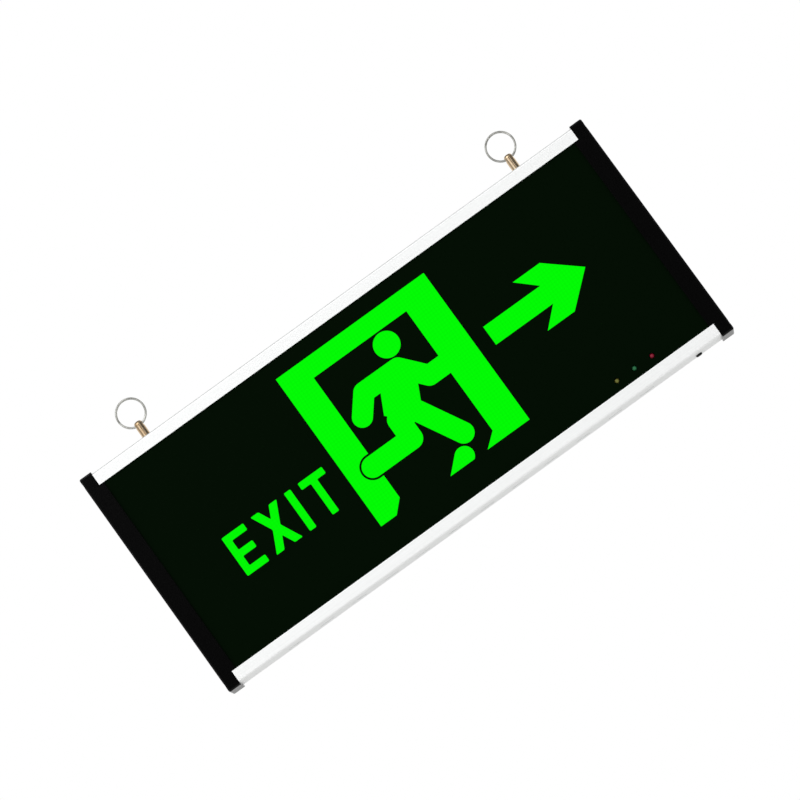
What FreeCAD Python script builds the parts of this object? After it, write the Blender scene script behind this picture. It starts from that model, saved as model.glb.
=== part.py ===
import FreeCAD, Part
import math
import os
import re

import Sketcher

# Emergency exit light, in millimetres.
# X runs along the lamp, to the right of someone who reads the panel. Y runs from the panel (-Y) to
# the wall side (+Y). Z is up. The origin is under the middle of the lamp, at the end caps' feet.

# ------------------------------------------------------------------------------------------------
# Driving sizes, kept in the sheet
# ------------------------------------------------------------------------------------------------

SIZE_LIST = [
    # the whole lamp
    ("body_width", 350.0),
    ("body_height", 148.0),
    ("body_depth", 24.0),
    # end caps
    ("cap_width", 8.0),
    ("cap_wall", 2.5),
    ("cap_proud", 1.4),
    ("cap_reach", 2.8),
    ("cap_edge_radius", 1.0),
    ("cap_hollow_margin", 4.0),
    # aluminium rails
    ("rail_base", 1.5),
    ("rail_height", 7.6),
    ("lip_thickness", 1.2),
    ("rib_thickness", 0.8),
    ("rail_edge_radius", 1.2),
    ("fit_gap", 0.1),
    ("port_size", 3.4),
    ("port_bore", 2.2),
    # the sheets that stand in the rails' grooves
    ("mask_thickness", 0.2),
    ("panel_thickness", 3.0),
    ("diffuser_thickness", 0.5),
    ("guide_thickness", 2.0),
    ("reflector_thickness", 0.3),
    ("plate_thickness", 1.0),
    ("guide_top_room", 1.0),
    # LED strip
    ("strip_thickness", 1.0),
    ("strip_end_room", 4.0),
    ("chip_height", 0.8),
    ("chip_length", 3.5),
    ("chip_width", 2.4),
    ("chip_lens_radius", 1.0),
    ("chip_lens_depth", 0.2),
    ("chip_end_inset", 17.0),
    ("chip_count", 16.0),
    # line of the posts, the button and the vents, behind the light guide
    ("hang_line", 1.4),
    # vents in the bottom rail
    ("vent_length", 10.0),
    ("vent_width", 1.8),
    ("vent_left_inset", 37.25),
    ("vent_right_inset", 52.0),
    ("vent_count", 12.0),
    # hanging posts
    ("post_inset", 45.4),
    ("post_radius", 2.7),
    ("post_height", 11.3),
    ("post_crown", 1.8),
    ("post_eye_depth", 2.4),
    ("post_eye_radius", 1.5),
    ("shank_radius", 2.0),
    ("hole_gap", 0.15),
    ("washer_radius", 4.3),
    ("washer_thickness", 0.8),
    ("nut_flats", 7.0),
    ("nut_thickness", 3.2),
    ("nut_chamfer", 0.3),
    ("shank_tail", 1.0),
    # split rings
    ("ring_radius", 9.1),
    ("ring_wire_width", 1.2),
    ("ring_wire_thickness", 0.8),
    ("ring_coil_bite", 0.02),
    ("ring_end_gap", 0.7),
    ("ring_end_angle", 118.0),
    ("ring_end_step", 22.0),
    ("ring_eye_offset", 0.21),
    # test button and its switch
    ("button_inset", 16.0),
    ("button_radius", 2.0),
    ("button_edge_radius", 0.7),
    ("button_clear", 0.2),
    ("button_travel", 0.8),
    ("button_flange_radius", 3.1),
    ("button_flange", 1.0),
    ("button_stem_radius", 1.5),
    ("button_stem", 2.9),
    ("switch_width", 6.2),
    ("switch_height", 3.8),
    ("switch_wall", 1.0),
    # indicator board and lamps
    ("lamp_inset", 62.6),
    ("lamp_pitch", 12.1),
    ("lamp_z", 14.9),
    ("lamp_radius", 1.5),
    ("lamp_dome_radius", 1.35),
    ("lamp_length", 4.2),
    ("lamp_flange_radius", 1.9),
    ("lamp_flange", 1.0),
    ("lamp_leg", 0.5),
    ("lamp_leg_pitch", 2.54),
    ("lamp_clear", 0.2),
    ("board_thickness", 1.2),
    ("indicator_board_inset", 9.0),
    ("indicator_board_width", 61.0),
    ("indicator_board_high", 27.0),
    ("board_screw_inset", 4.0),
    ("snap_head_radius", 1.9),
    ("snap_head", 0.7),
    # driver board
    ("driver_gap", 16.0),
    ("driver_low", 63.0),
    ("driver_width", 92.0),
    ("driver_height", 50.0),
    ("driver_stand_off", 3.0),
    ("standoff_radius", 2.5),
    ("standoff_bore", 1.25),
    ("screw_head_radius", 2.6),
    ("screw_head", 1.8),
    ("screw_shank_radius", 1.15),
    ("screw_length", 4.0),
    ("transformer_width", 18.0),
    ("transformer_height", 16.0),
    ("transformer_depth", 7.0),
    ("core_window_width", 10.8),
    ("core_window_height", 3.8),
    ("core_window_offset", 3.8),
    ("winding_radius", 5.8),
    ("winding_length", 10.0),
    ("winding_recess", 0.5),
    ("capacitor_radius", 3.0),
    ("capacitor_length", 12.0),
    ("capacitor_edge_radius", 0.6),
    ("capacitor_groove_place", 2.0),
    ("capacitor_groove_width", 1.2),
    ("capacitor_groove_depth", 0.4),
    ("capacitor_inset", 25.8),
    ("capacitor_rise", 15.0),
    ("terminal_ways", 3.0),
    ("terminal_pitch", 5.0),
    ("terminal_height", 8.0),
    ("terminal_depth", 7.2),
    ("terminal_well_radius", 1.6),
    ("terminal_well_depth", 3.0),
    ("terminal_mouth_radius", 1.5),
    ("terminal_mouth_depth", 5.6),
    ("terminal_mouth_level", 2.6),
    # battery pack of three cells side by side
    ("cell_radius", 5.1),
    ("cell_length", 46.0),
    ("cell_count", 3.0),
    ("sleeve_web", 7.6),
    ("sleeve_edge_radius", 0.8),
    ("battery_inset", 47.0),
    ("battery_low", 63.0),
    ("strap_width", 12.0),
    ("strap_thickness", 0.8),
    ("strap_foot", 8.0),
    # back plate, keyholes and cable entry
    ("keyhole_inset", 65.0),
    ("keyhole_depth", 28.0),
    ("keyhole_head_radius", 4.7),
    ("keyhole_slot_radius", 2.3),
    ("keyhole_drop", 9.0),
    ("cable_gap", 36.0),
    ("cable_z", 87.0),
    ("grommet_hole_radius", 7.0),
    ("grommet_bore_radius", 4.0),
    ("grommet_flange_radius", 9.5),
    ("grommet_flange", 1.1),
    ("grommet_edge_radius", 0.66),
    ("earth_gap", 22.0),
    ("earth_z", 71.0),
    ("earth_head_radius", 3.5),
    ("earth_head", 2.4),
    ("earth_shank_radius", 1.9),
    ("earth_tail", 0.8),
    # end cap screws
    ("cap_screw_radius", 1.05),
    ("cap_screw_hole", 1.3),
    ("cap_screw_head_radius", 2.4),
    ("cap_screw_head", 1.3),
    ("cap_screw_length", 16.0),
    # internal leads, and the way out of the light guide's groove for the strip's lead
    ("lead_radius", 0.8),
    ("lead_notch_length", 10.0),
    ("lead_notch_height", 4.3),
    ("lead_hole_inset", 7.0),
    ("lead_hole_rise", 3.7),
    # the leads' bends: off a board's face, and past its edges
    ("lead_bend", 4.0),
    ("lead_lift", 3.5),
    ("lead_land", 5.0),
    ("battery_lead_exit", 7.0),
    ("battery_lead_swing", 15.0),
    ("battery_lead_climb", 12.0),
    ("indicator_lead_pass", 6.0),
    ("indicator_lead_below", 14.0),
    ("indicator_lead_near", 9.0),
    ("strip_lead_climb", 24.0),
    ("strip_lead_run", 50.0),
    ("strip_lead_pass", 30.0),
    ("strip_lead_near", 10.0),
    ("strip_lead_land", 9.0),
    # legend: doorway, running figure and arrow, cut out of the mask
    ("door_middle_x", 0.3),
    ("door_low", 26.1),
    ("door_width", 103.1),
    ("door_height", 103.0),
    ("door_left_jamb", 18.0),
    ("door_right_jamb", 20.6),
    ("door_lintel", 12.0),
    ("door_foot_cut", 7.2),
    ("door_foot_spread", 8.6),
    ("arm_radius", 6.0),
    ("shin_radius", 6.4),
    ("leg_radius", 6.2),
    ("head_radius", 7.9),
    ("shoe_radius", 5.8),
    ("figure_outline", 1.2),
    ("arrow_gap", 9.35),
    ("arrow_middle_z", 77.9),
    ("arrow_length", 66.6),
    ("arrow_shaft", 12.6),
    ("arrow_span", 34.1),
    ("arrow_shaft_length", 39.6),
    ("arrow_barb_back", 11.4),
    ("arrow_flat", 18.8),
]
SIZES = dict(SIZE_LIST)

# Places that follow from the sizes. Each is a formula of sizes and of other places.
PLACES = {
    # depth, from the front lip to the wall side
    "front": "-body_depth / 2",
    "back": "body_depth / 2",
    "lip_inside": "front + lip_thickness",
    "mask_front": "lip_inside + fit_gap",
    "panel_front": "mask_front + mask_thickness",
    "panel_back": "panel_front + panel_thickness",
    "rib_one": "panel_back + fit_gap",
    "diffuser_front": "rib_one + rib_thickness + fit_gap",
    "guide_front": "diffuser_front + diffuser_thickness",
    "reflector_front": "guide_front + guide_thickness",
    "stack_back": "reflector_front + reflector_thickness",
    "rib_two": "stack_back + fit_gap",
    "bay_front": "rib_two + rib_thickness",
    "rear_lip": "back - lip_thickness",
    "plate_back": "rear_lip - fit_gap",
    "plate_front": "plate_back - plate_thickness",
    "rib_three": "plate_front - fit_gap - rib_thickness",
    "port_front": "rib_three - port_size",
    # height
    "rail_low": "cap_proud",
    "rail_floor": "rail_low + rail_base",
    "rail_top": "rail_low + rail_height",
    "port_top": "rail_floor + port_size",
    "roof": "body_height - rail_low",
    # length
    "rail_half": "body_width / 2 - cap_width",
    "rail_length": "body_width - 2 * cap_width",
    "front_port_y": "lip_inside + (rib_one - lip_inside) / 2",
    "rear_port_y": "rib_three - port_size / 2",
    "port_z": "rail_floor + port_size / 2",
    # vents and LEDs, spread evenly between their insets from the rails' ends
    "vent_last_x": "rail_half - vent_right_inset",
    "vent_pitch": "(rail_length - vent_left_inset - vent_right_inset) / (vent_count - 1)",
    "chip_pitch": "(rail_length - 2 * chip_end_inset) / (chip_count - 1)",
    "lead_hole_x": "-(rail_half - lead_hole_inset)",
    "lead_hole_z": "rail_floor + lead_hole_rise",
    # test button, from its tip up
    "button_x": "rail_half - button_inset",
    "flange_low": "rail_floor + fit_gap",
    "flange_top": "flange_low + button_flange",
    "switch_low": "flange_top + button_travel + 2 * fit_gap",
    "indicator_front": "bay_front + 2 * fit_gap",
    "indicator_back": "indicator_front + board_thickness",
    "indicator_board_right": "rail_half - indicator_board_inset",
    "indicator_board_left": "indicator_board_right - indicator_board_width",
    "lamp_first_x": "rail_half - lamp_inset",
    # posts
    "post_x": "body_width / 2 - post_inset",
    "eye_z": "roof + post_height - post_eye_depth",
    # the wire's bow fills the post's eye evenly, so its middle line lies a little off the eye's axis
    "ring_middle": "ring_radius - ring_wire_width / 2 - ring_eye_offset",
    "ring_z": "eye_z + ring_middle",
    # driver board, beside the battery, with the cable entry and the earth screw beside it
    "driver_left": "battery_left - driver_gap - driver_width",
    "cable_x": "driver_left - cable_gap",
    "earth_x": "cable_x - earth_gap",
    "driver_back": "plate_front - driver_stand_off",
    "driver_front": "driver_back - board_thickness",
    "terminal_width": "terminal_ways * terminal_pitch",
    # battery, near the right-hand end
    "battery_left": "rail_half - battery_inset - cell_length",
    "battery_height": "2 * cell_radius * cell_count",
    "battery_high": "battery_low + battery_height",
    "battery_middle_x": "battery_left + cell_length / 2",
    "battery_front": "plate_front - fit_gap - 2 * cell_radius",
    # keyholes
    "keyhole_x": "body_width / 2 - keyhole_inset",
    "keyhole_z": "body_height - keyhole_depth",
    # legend
    "door_left": "door_middle_x - door_width / 2",
    "door_right": "door_middle_x + door_width / 2",
    "door_top": "door_low + door_height",
    "arrow_left": "door_right + arrow_gap",
}

# The running figure's joints, from the middle of the doorway's foot line: percent of the doorway's
# width to the right, and percent of its height up
FIGURE = {
    "head": (10.6, 79.7),
    "rear_hand": (-23.5, 54.9),
    "rear_shoulder": (-14.8, 65.7),
    "front_shoulder": (8.1, 65.6),
    "front_elbow": (19.7, 52.1),
    "hip": (-8.3, 42.3),
    "rear_knee": (-8.3, 29.4),
    "rear_foot": (-34.7, 29.4),
    "front_hip": (2.1, 41.7),
    "front_ankle": (16.5, 15.3),
    "crotch": (-2.0, 35.7),
    "front_waist": (7.7, 43.2),
    "front_armpit": (12.0, 51.9),
    "rear_armpit": (-7.6, 60.1),
    "rear_waist": (-13.4, 48.6),
    "toe": (-3.3, 0.0),
    "heel": (11.6, 0.0),
    "heel_top": (15.0, 3.9),
    "shoe_centre": (9.5, 4.5),
}

doc = FreeCAD.newDocument("exit_light")
sheet = doc.addObject("Spreadsheet::Sheet", "Sizes")
for row, (alias, number) in enumerate(SIZE_LIST, start=1):
    sheet.set(f"A{row}", alias)
    sheet.set(f"B{row}", str(number))
    sheet.setAlias(f"B{row}", alias)
doc.recompute()

SUB_PARTS = []


# ------------------------------------------------------------------------------------------------
# Helpers
# ------------------------------------------------------------------------------------------------

def vector(x, y, z=0.0):
    return FreeCAD.Vector(x, y, z)


# Two lengths closer than this are taken as one, in millimetres
TOUCH = 0.01
FORWARD = vector(0, -1, 0)
BACKWARD = vector(0, 1, 0)
UP = vector(0, 0, 1)


def formula(text):
    """Spell a formula out with the sheet's own cells."""
    def spell(match):
        word = match.group(0)
        if word in PLACES:
            return "(" + formula(PLACES[word]) + ")"
        return "Sizes." + word if word in SIZES else word
    return re.sub(r"[a-z][a-z_]+", spell, text)


def size(text):
    """The value of a formula, in millimetres."""
    return float(sheet.evalExpression(formula(text)))


def bind(thing, path, text):
    thing.setExpression(path, formula(text))


def keep(thing, label):
    """List an object as a finished sub-part."""
    thing.Label = label
    SUB_PARTS.append(thing)
    return thing


def new_body(label):
    body = doc.addObject("PartDesign::Body", "body_" + label)
    return keep(body, label)


def new_sketch(body, role, offset="0"):
    """A sketch on one of the body's own origin planes, moved along that plane's normal."""
    sketch = body.newObject("Sketcher::SketchObject", "sketch")
    plane = next(item for item in body.Origin.OriginFeatures if item.Role == role)
    sketch.AttachmentSupport = (plane, "")
    sketch.MapMode = "FlatFace"
    bind(sketch, "AttachmentOffset.Base.z", offset)
    return sketch


def pin(sketch, geometry, point, x, y):
    """Tie one point of a sketch to a pair of formulas."""
    for kind, text in (("DistanceX", x), ("DistanceY", y)):
        constraint = Sketcher.Constraint(kind, -1, 1, geometry, point, size(text))
        index = sketch.addConstraint(constraint)
        bind(sketch, f"Constraints[{index}]", text)


def outline(sketch, points):
    """A closed outline of straight lines through pairs of formulas."""
    first = sketch.GeometryCount
    corners = [vector(size(x), size(y)) for x, y in points]
    count = len(corners)
    for i in range(count):
        sketch.addGeometry(Part.LineSegment(corners[i], corners[(i + 1) % count]))
    for i in range(count):
        following = first + (i + 1) % count
        sketch.addConstraint(Sketcher.Constraint("Coincident", first + i, 2, following, 1))
    for i, (x, y) in enumerate(points):
        pin(sketch, first + i, 1, x, y)


def rectangle(sketch, left, right, low, high):
    outline(sketch, [(left, low), (right, low), (right, high), (left, high)])


def circle(sketch, x, y, radius):
    ring = Part.Circle(vector(size(x), size(y)), vector(0, 0, 1), size(radius))
    index = sketch.addGeometry(ring)
    pin(sketch, index, 3, x, y)
    constraint = sketch.addConstraint(Sketcher.Constraint("Radius", index, size(radius)))
    bind(sketch, f"Constraints[{constraint}]", radius)


def slot(sketch, start, end, radius):
    """A round-ended slot between two centres, each a pair of formulas."""
    a = vector(size(start[0]), size(start[1]))
    b = vector(size(end[0]), size(end[1]))
    reach = size(radius)
    turn = math.atan2(b.y - a.y, b.x - a.x)
    side = vector(-math.sin(turn), math.cos(turn)) * reach
    first = sketch.GeometryCount
    normal = vector(0, 0, 1)
    quarter = math.pi / 2
    sketch.addGeometry(Part.ArcOfCircle(Part.Circle(a, normal, reach), turn + quarter, turn + 3 * quarter))
    sketch.addGeometry(Part.LineSegment(a - side, b - side))
    sketch.addGeometry(Part.ArcOfCircle(Part.Circle(b, normal, reach), turn - quarter, turn + quarter))
    sketch.addGeometry(Part.LineSegment(b + side, a + side))
    for i in range(4):
        sketch.addConstraint(Sketcher.Constraint("Tangent", first + i, 2, first + (i + 1) % 4, 1))
    sketch.addConstraint(Sketcher.Constraint("Equal", first, first + 2))
    pin(sketch, first, 3, *start)
    pin(sketch, first + 2, 3, *end)
    constraint = sketch.addConstraint(Sketcher.Constraint("Radius", first, reach))
    bind(sketch, f"Constraints[{constraint}]", radius)


def pad(body, sketch, length, symmetric=False, backwards=False):
    feature = body.newObject("PartDesign::Pad", "pad")
    feature.Profile = sketch
    feature.SideType = "Symmetric" if symmetric else "One side"
    feature.Reversed = backwards
    bind(feature, "Length", length)
    return feature


def pocket(body, sketch, length=None, backwards=False):
    """A cut from the sketch: to a depth along its normal's far side, or right through both ways."""
    feature = body.newObject("PartDesign::Pocket", "pocket")
    feature.Profile = sketch
    if length is None:
        feature.Type = "ThroughAll"
        feature.SideType = "Symmetric"
    else:
        feature.Reversed = backwards
        bind(feature, "Length", length)
    return feature


def revolve(body, sketch, axis):
    """A full turn about one of the sketch's own axes, H_Axis or V_Axis."""
    feature = body.newObject("PartDesign::Revolution", "revolution")
    feature.Profile = sketch
    feature.ReferenceAxis = (sketch, [axis])
    feature.Angle = 360
    return feature


def fillet(body, base, wanted, radius):
    """Round the edges of the base feature that the test picks."""
    doc.recompute()
    names = [f"Edge{i}" for i, edge in enumerate(base.Shape.Edges, start=1) if wanted(edge)]
    feature = body.newObject("PartDesign::Fillet", "fillet")
    feature.Base = (base, names)
    bind(feature, "Radius", radius)
    return feature


def place(thing, x="0", y="0", z="0"):
    for axis, text in (("x", x), ("y", y), ("z", z)):
        bind(thing, "Placement.Base." + axis, text)


def ring_edge_at(height, radius):
    """A test for a circular edge about the body's own Z axis, at a height and a radius."""
    def wanted(edge):
        box = edge.BoundBox
        flat = box.ZLength < TOUCH and abs(box.ZMin - height) < TOUCH
        return flat and abs(box.XMax - radius) < TOUCH and abs(box.XMin + radius) < TOUCH
    return wanted


def solid_feature(label, shape):
    """A sub-part whose shape is made by Part's own functions from the sheet's values."""
    feature = doc.addObject("Part::Feature", "feature_" + label)
    feature.Shape = shape
    feature.Placement = FreeCAD.Placement()
    return keep(feature, label)


# ------------------------------------------------------------------------------------------------
# Rails
# ------------------------------------------------------------------------------------------------

def rail_section(body):
    """The extrusion: base, lips and ribs with four grooves between them, and two screw ports."""
    blank_sketch = new_sketch(body, "YZ_Plane")
    rectangle(blank_sketch, "front", "back", "rail_low", "rail_top")
    blank = pad(body, blank_sketch, "rail_length", symmetric=True)
    low = size("rail_low")
    half = size("body_depth") / 2

    def outer_corner(edge):
        box = edge.BoundBox
        return box.YLength < TOUCH and abs(box.ZMax - low) < TOUCH and abs(abs(box.YMin) - half) < TOUCH
    fillet(body, blank, outer_corner, "rail_edge_radius")

    grooves = new_sketch(body, "YZ_Plane")
    over = "rail_top + rail_base"
    rectangle(grooves, "lip_inside", "rib_one", "port_top", over)
    rectangle(grooves, "rib_one + rib_thickness", "rib_two", "rail_floor", over)
    outline(grooves, [
        ("bay_front", "rail_floor"), ("port_front", "rail_floor"), ("port_front", "port_top"),
        ("rib_three", "port_top"), ("rib_three", over), ("bay_front", over),
    ])
    rectangle(grooves, "rib_three + rib_thickness", "rear_lip", "rail_floor", over)
    pocket(body, grooves)

    ports = new_sketch(body, "YZ_Plane")
    circle(ports, "front_port_y", "port_z", "port_bore / 2")
    circle(ports, "rear_port_y", "port_z", "port_bore / 2")
    pocket(body, ports)


def bottom_rail():
    body = new_body("bottom_rail")
    rail_section(body)
    vents = new_sketch(body, "XY_Plane")
    half_straight = "(vent_length - vent_width) / 2"
    for i in range(int(size("vent_count"))):
        middle = f"vent_last_x - {i} * vent_pitch"
        slot(vents, (f"{middle} - {half_straight}", "hang_line"),
             (f"{middle} + {half_straight}", "hang_line"), "vent_width / 2")
    circle(vents, "button_x", "hang_line", "button_radius + hole_gap")
    pocket(body, vents)
    lead_hole = new_sketch(body, "XZ_Plane", "-(bay_front)")
    circle(lead_hole, "lead_hole_x", "lead_hole_z", "lead_radius + hole_gap")
    pocket(body, lead_hole, "rib_thickness + fit_gap", backwards=True)


def top_rail():
    """The same extrusion turned half a turn about Y, so that its grooves face down."""
    body = new_body("top_rail")
    rail_section(body)
    holes = new_sketch(body, "XY_Plane")
    for side in ("-", ""):
        circle(holes, f"{side}post_x", "hang_line", "shank_radius + hole_gap")
    pocket(body, holes)
    body.Placement.Rotation = FreeCAD.Rotation(vector(0, 1, 0), 180)
    place(body, z="body_height")


# ------------------------------------------------------------------------------------------------
# End caps and their screws
# ------------------------------------------------------------------------------------------------

PORTS = [
    ("front_port_y", "port_z"),
    ("rear_port_y", "port_z"),
    ("front_port_y", "body_height - port_z"),
    ("rear_port_y", "body_height - port_z"),
]


def right_end_cap():
    """A moulded cap, hollow inside, with a lip before and behind that closes the panel's end."""
    body = new_body("right_end_cap")
    block_sketch = new_sketch(body, "YZ_Plane", "rail_half")
    rectangle(block_sketch, "front", "back", "0", "body_height")
    block = pad(body, block_sketch, "cap_width")
    outer = size("body_width / 2")

    def outer_edge(edge):
        return abs(edge.BoundBox.XMax - outer) < TOUCH
    fillet(body, block, outer_edge, "cap_edge_radius")

    lips = new_sketch(body, "YZ_Plane", "rail_half")
    lip_low = "rail_top + fit_gap"
    lip_high = "body_height - rail_top - fit_gap"
    rectangle(lips, "front", "lip_inside", lip_low, lip_high)
    rectangle(lips, "rear_lip", "back", lip_low, lip_high)
    pad(body, lips, "cap_reach", backwards=True)

    hollow = new_sketch(body, "YZ_Plane", "rail_half")
    rectangle(hollow, "front + cap_wall", "back - cap_wall", "rail_top + cap_hollow_margin",
              "body_height - rail_top - cap_hollow_margin")
    pocket(body, hollow, "cap_width - cap_wall", backwards=True)

    holes = new_sketch(body, "YZ_Plane", "rail_half")
    for y, z in PORTS:
        circle(holes, y, z, "cap_screw_hole")
    pocket(body, holes, "cap_width", backwards=True)

    heads = new_sketch(body, "YZ_Plane", "body_width / 2")
    for y, z in PORTS:
        circle(heads, y, z, "cap_screw_head_radius + hole_gap")
    pocket(body, heads, "cap_screw_head + fit_gap")
    return body


def left_end_cap(right_cap):
    """The mirror image of the right one."""
    cap = doc.addObject("Part::Mirroring", "mirror_left_end_cap")
    cap.Source = right_cap
    cap.Normal = vector(1, 0, 0)
    keep(cap, "left_end_cap")


def end_cap_screws():
    """Eight cheese-head screws, one in each screw port of each rail end."""
    head_radius = size("cap_screw_head_radius")
    head = size("cap_screw_head")
    top = size("body_width / 2 - fit_gap")
    screws = []
    for y, z in PORTS:
        for side in (-1, 1):
            seat = vector(side * top, size(y), size(z))
            inward = vector(-side, 0, 0)
            crown = Part.makeCylinder(head_radius, head, seat, inward)
            rim = [edge for edge in crown.Edges if (edge.CenterOfMass - seat).Length < TOUCH]
            crown = crown.makeFillet(head * CHEESE_ROUNDING, rim)
            shank = Part.makeCylinder(size("cap_screw_radius"), size("cap_screw_length"), seat, inward)
            drive = cross_recess(seat, inward, head_radius)
            screws.append(crown.fuse(shank).cut(drive).removeSplitter())
    solid_feature("end_cap_screws", Part.makeCompound(screws))


# How far the rims of two kinds of screw head are rounded, as shares of the head's height
CHEESE_ROUNDING = 0.33
PAN_ROUNDING = 0.5
# A cross recess's length, width and depth, as shares of its screw head's radius
RECESS_LENGTH = 1.2
RECESS_WIDTH = 0.3
RECESS_DEPTH = 0.35


def cross_recess(seat, inward, head_radius):
    """Two crossed bars, to be cut into a screw head at its seat point."""
    long_side = head_radius * RECESS_LENGTH
    short_side = head_radius * RECESS_WIDTH
    depth = head_radius * RECESS_DEPTH
    turn = FreeCAD.Rotation(vector(0, 0, 1), inward)
    bars = []
    for width, height in ((long_side, short_side), (short_side, long_side)):
        bar = Part.makeBox(width, height, 2 * depth, vector(-width / 2, -height / 2, -depth))
        bar.Placement = FreeCAD.Placement(seat, turn)
        bars.append(bar)
    return bars[0].fuse(bars[1])


# ------------------------------------------------------------------------------------------------
# Sheets that stand in the grooves
# ------------------------------------------------------------------------------------------------

def lamp_x(number):
    return f"lamp_first_x + {number} * lamp_pitch"


LAMPS = {"yellow_indicator": 0, "green_indicator": 1, "red_indicator": 2}


SHEET_LEFT = "-(rail_half - 2 * fit_gap)"
SHEET_RIGHT = "rail_half - 2 * fit_gap"


def groove_sheet(label, face, thickness, corners, hole_radius):
    """A sheet from its front face back, with three holes that the indicator lamps reach through."""
    body = new_body(label)
    sketch = new_sketch(body, "XZ_Plane", f"-({face})")
    outline(sketch, corners)
    for number in LAMPS.values():
        circle(sketch, lamp_x(number), "lamp_z", hole_radius)
    pad(body, sketch, thickness, backwards=True)


def sheets():
    panel_low = "port_top + fit_gap"
    panel_high = "body_height - port_top - fit_gap"
    groove_sheet("front_panel", "panel_front", "panel_thickness",
                 [(SHEET_LEFT, panel_low), (SHEET_RIGHT, panel_low),
                  (SHEET_RIGHT, panel_high), (SHEET_LEFT, panel_high)], "lamp_radius + lamp_clear")
    low = "rail_floor + strip_thickness + chip_height + fit_gap"
    high = "body_height - rail_floor - guide_top_room"
    notch_top = f"{low} + lead_notch_height"
    notch_right = f"{SHEET_LEFT} + lead_notch_length"
    notched = [(SHEET_LEFT, notch_top), (notch_right, notch_top), (notch_right, low),
               (SHEET_RIGHT, low), (SHEET_RIGHT, high), (SHEET_LEFT, high)]
    wide = "lamp_flange_radius + lamp_clear"
    groove_sheet("diffuser_sheet", "diffuser_front", "diffuser_thickness", notched, wide)
    groove_sheet("light_guide", "guide_front", "guide_thickness", notched, wide)
    groove_sheet("reflector_sheet", "reflector_front", "reflector_thickness", notched, wide)


# ------------------------------------------------------------------------------------------------
# Legend: windows in the printed mask
# ------------------------------------------------------------------------------------------------

def panel_point(x, z):
    """A point in the plane of the mask's front face."""
    return vector(x, size("mask_front"), z)


def polygon_face(points):
    corners = [panel_point(*point) for point in points]
    return Part.Face(Part.makePolygon(corners + corners[:1]))


def disc(centre, radius):
    ring = Part.makeCircle(radius, panel_point(*centre), vector(0, 1, 0))
    return Part.Face(Part.Wire(ring))


def limb(start, end, radius):
    """A bar with round ends between two joints of the figure."""
    reach = math.hypot(end[0] - start[0], end[1] - start[1])
    across = ((end[1] - start[1]) / reach * radius, -(end[0] - start[0]) / reach * radius)
    bar = polygon_face([
        (start[0] + across[0], start[1] + across[1]), (end[0] + across[0], end[1] + across[1]),
        (end[0] - across[0], end[1] - across[1]), (start[0] - across[0], start[1] - across[1]),
    ])
    return bar.fuse([disc(start, radius), disc(end, radius)])


def figure_joints():
    """The figure's joints in the lamp's own frame."""
    middle = size("door_middle_x")
    low = size("door_low")
    across = size("door_width / 100")
    up = size("door_height / 100")
    return {name: (middle + x * across, low + z * up) for name, (x, z) in FIGURE.items()}


def doorway():
    """A door frame whose feet are cut on the slant, seen from the room."""
    left = size("door_left")
    right = size("door_right")
    low = size("door_low")
    top = size("door_top")
    inner_left = left + size("door_left_jamb")
    inner_right = right - size("door_right_jamb")
    inner_top = top - size("door_lintel")
    cut = size("door_foot_cut")
    spread = size("door_foot_spread")
    return polygon_face([
        (left, low), (inner_left - cut, low), (inner_left, low + cut), (inner_left, inner_top),
        (inner_right, inner_top), (inner_right, low + cut), (inner_right - spread, low),
        (right, low), (right, top), (left, top),
    ])


def running_figure(joints):
    """The figure's body, its arms and its legs, as one flat shape."""
    arm = size("arm_radius")
    shin = size("shin_radius")
    jamb = (size("door_right") - size("door_right_jamb") / 2, joints["front_elbow"][1])
    parts = [
        limb(joints["rear_hand"], joints["rear_shoulder"], arm),
        limb(joints["rear_shoulder"], joints["front_shoulder"], arm),
        limb(joints["front_shoulder"], joints["front_elbow"], arm),
        limb(joints["front_elbow"], jamb, arm),
        limb(joints["hip"], joints["rear_knee"], shin),
        limb(joints["front_hip"], joints["front_ankle"], size("leg_radius")),
        polygon_face([joints[name] for name in (
            "rear_armpit", "rear_waist", "hip", "rear_knee", "crotch", "front_waist",
            "front_armpit", "front_shoulder", "rear_shoulder")]),
    ]
    return parts[0].fuse(parts[1:])


def shoe(joints):
    """The front shoe: a round heel, a flat sole and an upper that runs from the toe to the heel."""
    radius = size("shoe_radius")
    toe = joints["toe"]
    heel = joints["heel_top"]
    centre = joints["shoe_centre"]
    reach = math.hypot(centre[0] - toe[0], centre[1] - toe[1])
    slope = math.atan2(centre[1] - toe[1], centre[0] - toe[0]) + math.asin(radius / reach)
    upper = math.sqrt(reach ** 2 - radius ** 2)
    instep = (toe[0] + upper * math.cos(slope), toe[1] + upper * math.sin(slope))
    sole = polygon_face([toe, joints["heel"], heel, centre, instep])
    far = heel[0] + radius
    ground = toe[1]
    below = polygon_face([toe, (far, ground), (far, ground - radius), (toe[0], ground - radius)])
    return sole.fuse(disc(centre, radius)).cut(below)


def arrow():
    """A broad arrow whose barbs are swept back over the shaft."""
    left = size("arrow_left")
    middle = size("arrow_middle_z")
    tip = left + size("arrow_length")
    notch = left + size("arrow_shaft_length")
    barb = notch - size("arrow_barb_back")
    shoulder = barb + size("arrow_flat")
    half_shaft = size("arrow_shaft") / 2
    half_span = size("arrow_span") / 2
    upper = [(left, half_shaft), (notch, half_shaft), (barb, half_span), (shoulder, half_span)]
    points = [(x, middle + z) for x, z in upper] + [(tip, middle)]
    points += [(x, middle - z) for x, z in reversed(upper)]
    return polygon_face(points)


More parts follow.
